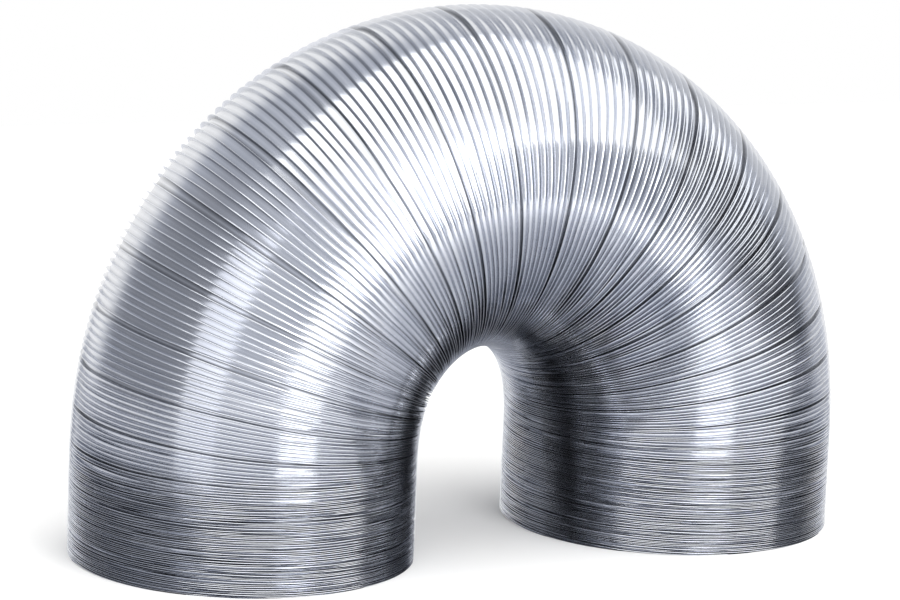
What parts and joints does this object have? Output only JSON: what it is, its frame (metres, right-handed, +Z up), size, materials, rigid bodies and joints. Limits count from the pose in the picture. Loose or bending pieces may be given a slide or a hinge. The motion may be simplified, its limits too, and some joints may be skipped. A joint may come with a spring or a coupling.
{
  "type": "flexible aluminium duct",
  "caption": "Semi-rigid corrugated aluminium ventilation duct, bent into an arch and standing on its two open ends.",
  "frame": {"origin": "on the floor, midway between the two open ends and in the middle of the duct's width", "axes": "+X from one open end to the other, +Y across the duct, +Z up towards the top of the arch"},
  "size_m": [0.3734, 0.155, 0.2439],
  "materials": {
    "duct": "polished"
  },
  "bodies": {
    "root": {"duct": "duct"}
  },
  "joints": []
}
